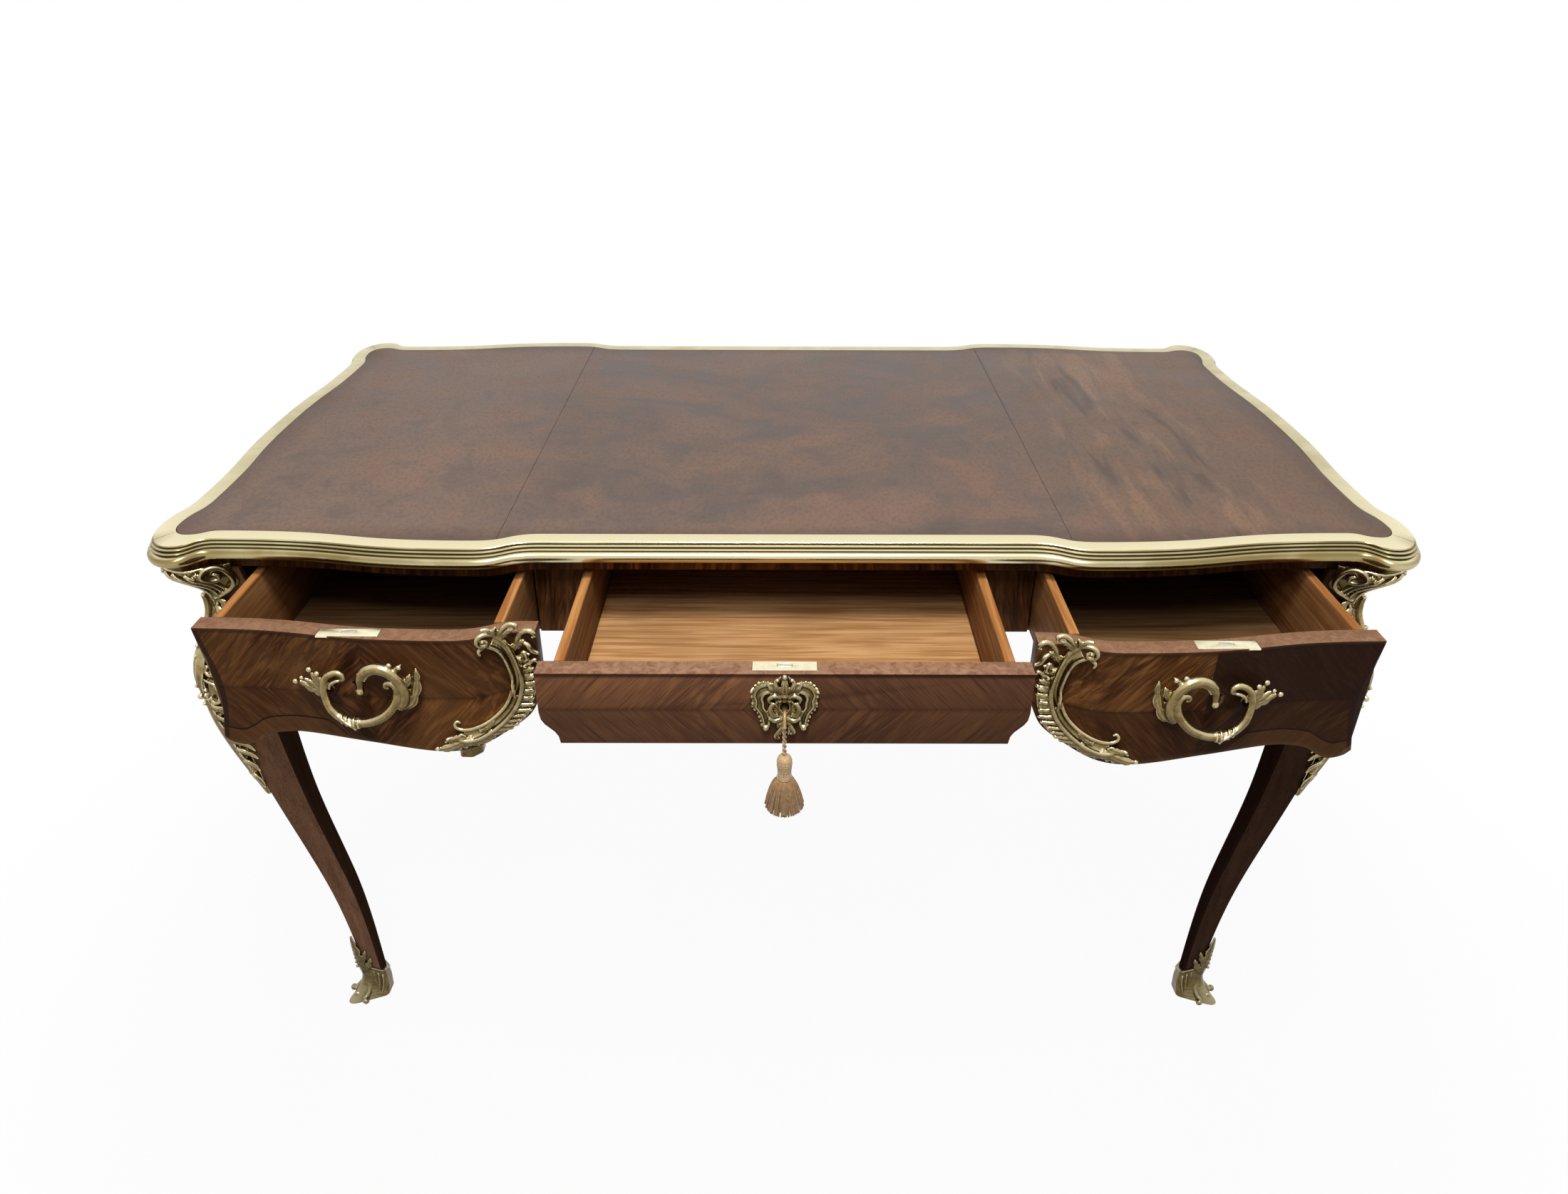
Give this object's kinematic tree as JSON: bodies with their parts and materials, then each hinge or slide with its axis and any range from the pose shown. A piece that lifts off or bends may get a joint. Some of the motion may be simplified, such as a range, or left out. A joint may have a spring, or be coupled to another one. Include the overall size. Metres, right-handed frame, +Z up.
{
  "type": "bureau plat writing table",
  "caption": "Serpentine leather-topped writing table with brass edge, frieze drawers that slide, a turning key with tassel, and cabriole legs with gilt mounts.",
  "frame": {"origin": "floor level under the middle of the table's box with the drawers pulled out as pictured", "axes": "+X to the sitter's right when facing the drawer fronts from -Y, +Y towards the back, +Z up"},
  "size_m": [1.3914, 0.9704, 0.77],
  "materials": {
    "kingwood": "french-polished veneer",
    "drawer_oak": "waxed bare wood",
    "leather": "worn hide",
    "edge_brass": "satin",
    "gilt_bronze": "cast and gilt",
    "lock_brass": "worn",
    "silk": "twisted silk"
  },
  "bodies": {
    "table": {"corner_mount_back_left": "gilt_bronze", "corner_mount_back_right": "gilt_bronze", "corner_mount_front_left": "gilt_bronze", "corner_mount_front_right": "gilt_bronze", "divider_left": "kingwood", "divider_right": "kingwood", "edge_back": "edge_brass", "edge_front": "edge_brass", "edge_left": "edge_brass", "edge_right": "edge_brass", "frieze_back": "kingwood", "frieze_left": "kingwood", "frieze_right": "kingwood", "leather_centre": "leather", "leather_left": "leather", "leather_right": "leather", "leg_back_left": "kingwood", "leg_back_right": "kingwood", "leg_front_left": "kingwood", "leg_front_right": "kingwood", "runner_centre_left": "drawer_oak", "runner_centre_right": "drawer_oak", "runner_inner_left": "drawer_oak", "runner_inner_right": "drawer_oak", "runner_outer_left": "drawer_oak", "runner_outer_right": "drawer_oak", "sabot_back_left": "gilt_bronze", "sabot_back_right": "gilt_bronze", "sabot_front_left": "gilt_bronze", "sabot_front_right": "gilt_bronze", "top_board": "kingwood"},
    "drawer_left": {"drawer_left_back": "drawer_oak", "drawer_left_bottom": "drawer_oak", "drawer_left_front": "kingwood", "drawer_left_side_left": "drawer_oak", "drawer_left_side_right": "drawer_oak", "handle_left": "gilt_bronze", "lock_left": "lock_brass", "scroll_mount_left": "gilt_bronze"},
    "drawer_centre": {"drawer_centre_back": "drawer_oak", "drawer_centre_bottom": "drawer_oak", "drawer_centre_front": "kingwood", "drawer_centre_side_left": "drawer_oak", "drawer_centre_side_right": "drawer_oak", "escutcheon": "gilt_bronze", "lock_centre": "lock_brass"},
    "drawer_right": {"drawer_right_back": "drawer_oak", "drawer_right_bottom": "drawer_oak", "drawer_right_front": "kingwood", "drawer_right_side_left": "drawer_oak", "drawer_right_side_right": "drawer_oak", "handle_right": "gilt_bronze", "lock_right": "lock_brass", "scroll_mount_right": "gilt_bronze"},
    "bolt_left": {"bolt_left": "lock_brass"},
    "bolt_centre": {"bolt_centre": "lock_brass"},
    "bolt_right": {"bolt_right": "lock_brass"},
    "key": {"key": "lock_brass"},
    "cord": {"tassel_cord": "silk"},
    "tassel": {"tassel": "silk"}
  },
  "joints": [
    {"name": "drawer_left_slide", "type": "slide", "parent": "table", "child": "drawer_left", "axis": [0, -1, 0], "range_m": [-0.13, 0.1]},
    {"name": "drawer_centre_slide", "type": "slide", "parent": "table", "child": "drawer_centre", "axis": [0, -1, 0], "range_m": [-0.205, 0.05]},
    {"name": "drawer_right_slide", "type": "slide", "parent": "table", "child": "drawer_right", "axis": [0, -1, 0], "range_m": [-0.15, 0.08]},
    {"name": "bolt_left_throw", "type": "slide", "parent": "drawer_left", "child": "bolt_left", "axis": [0, 0, 1], "range_m": [0, 0.008]},
    {"name": "bolt_centre_throw", "type": "slide", "parent": "drawer_centre", "child": "bolt_centre", "axis": [0, 0, 1], "range_m": [0, 0.008]},
    {"name": "bolt_right_throw", "type": "slide", "parent": "drawer_right", "child": "bolt_right", "axis": [0, 0, 1], "range_m": [0, 0.008]},
    {"name": "key_turn", "type": "hinge", "parent": "drawer_centre", "child": "key", "pos_m": [0, -0.47165, 0.6899], "axis": [0, 1, 0], "range_deg": [0, 180]},
    {"name": "cord_swing", "type": "hinge", "parent": "drawer_centre", "child": "cord", "pos_m": [0, -0.47165, 0.6899], "axis": [0, 1, 0], "range_deg": [-40, 40]},
    {"name": "tassel_swing", "type": "hinge", "parent": "cord", "child": "tassel", "pos_m": [0, -0.47165, 0.6471], "axis": [0, 1, 0], "range_deg": [-30, 30]}
  ],
  "couplings": [
    {"joint": "bolt_centre_throw", "follows": "key_turn", "m_per_rad": 0.0025465}
  ]
}
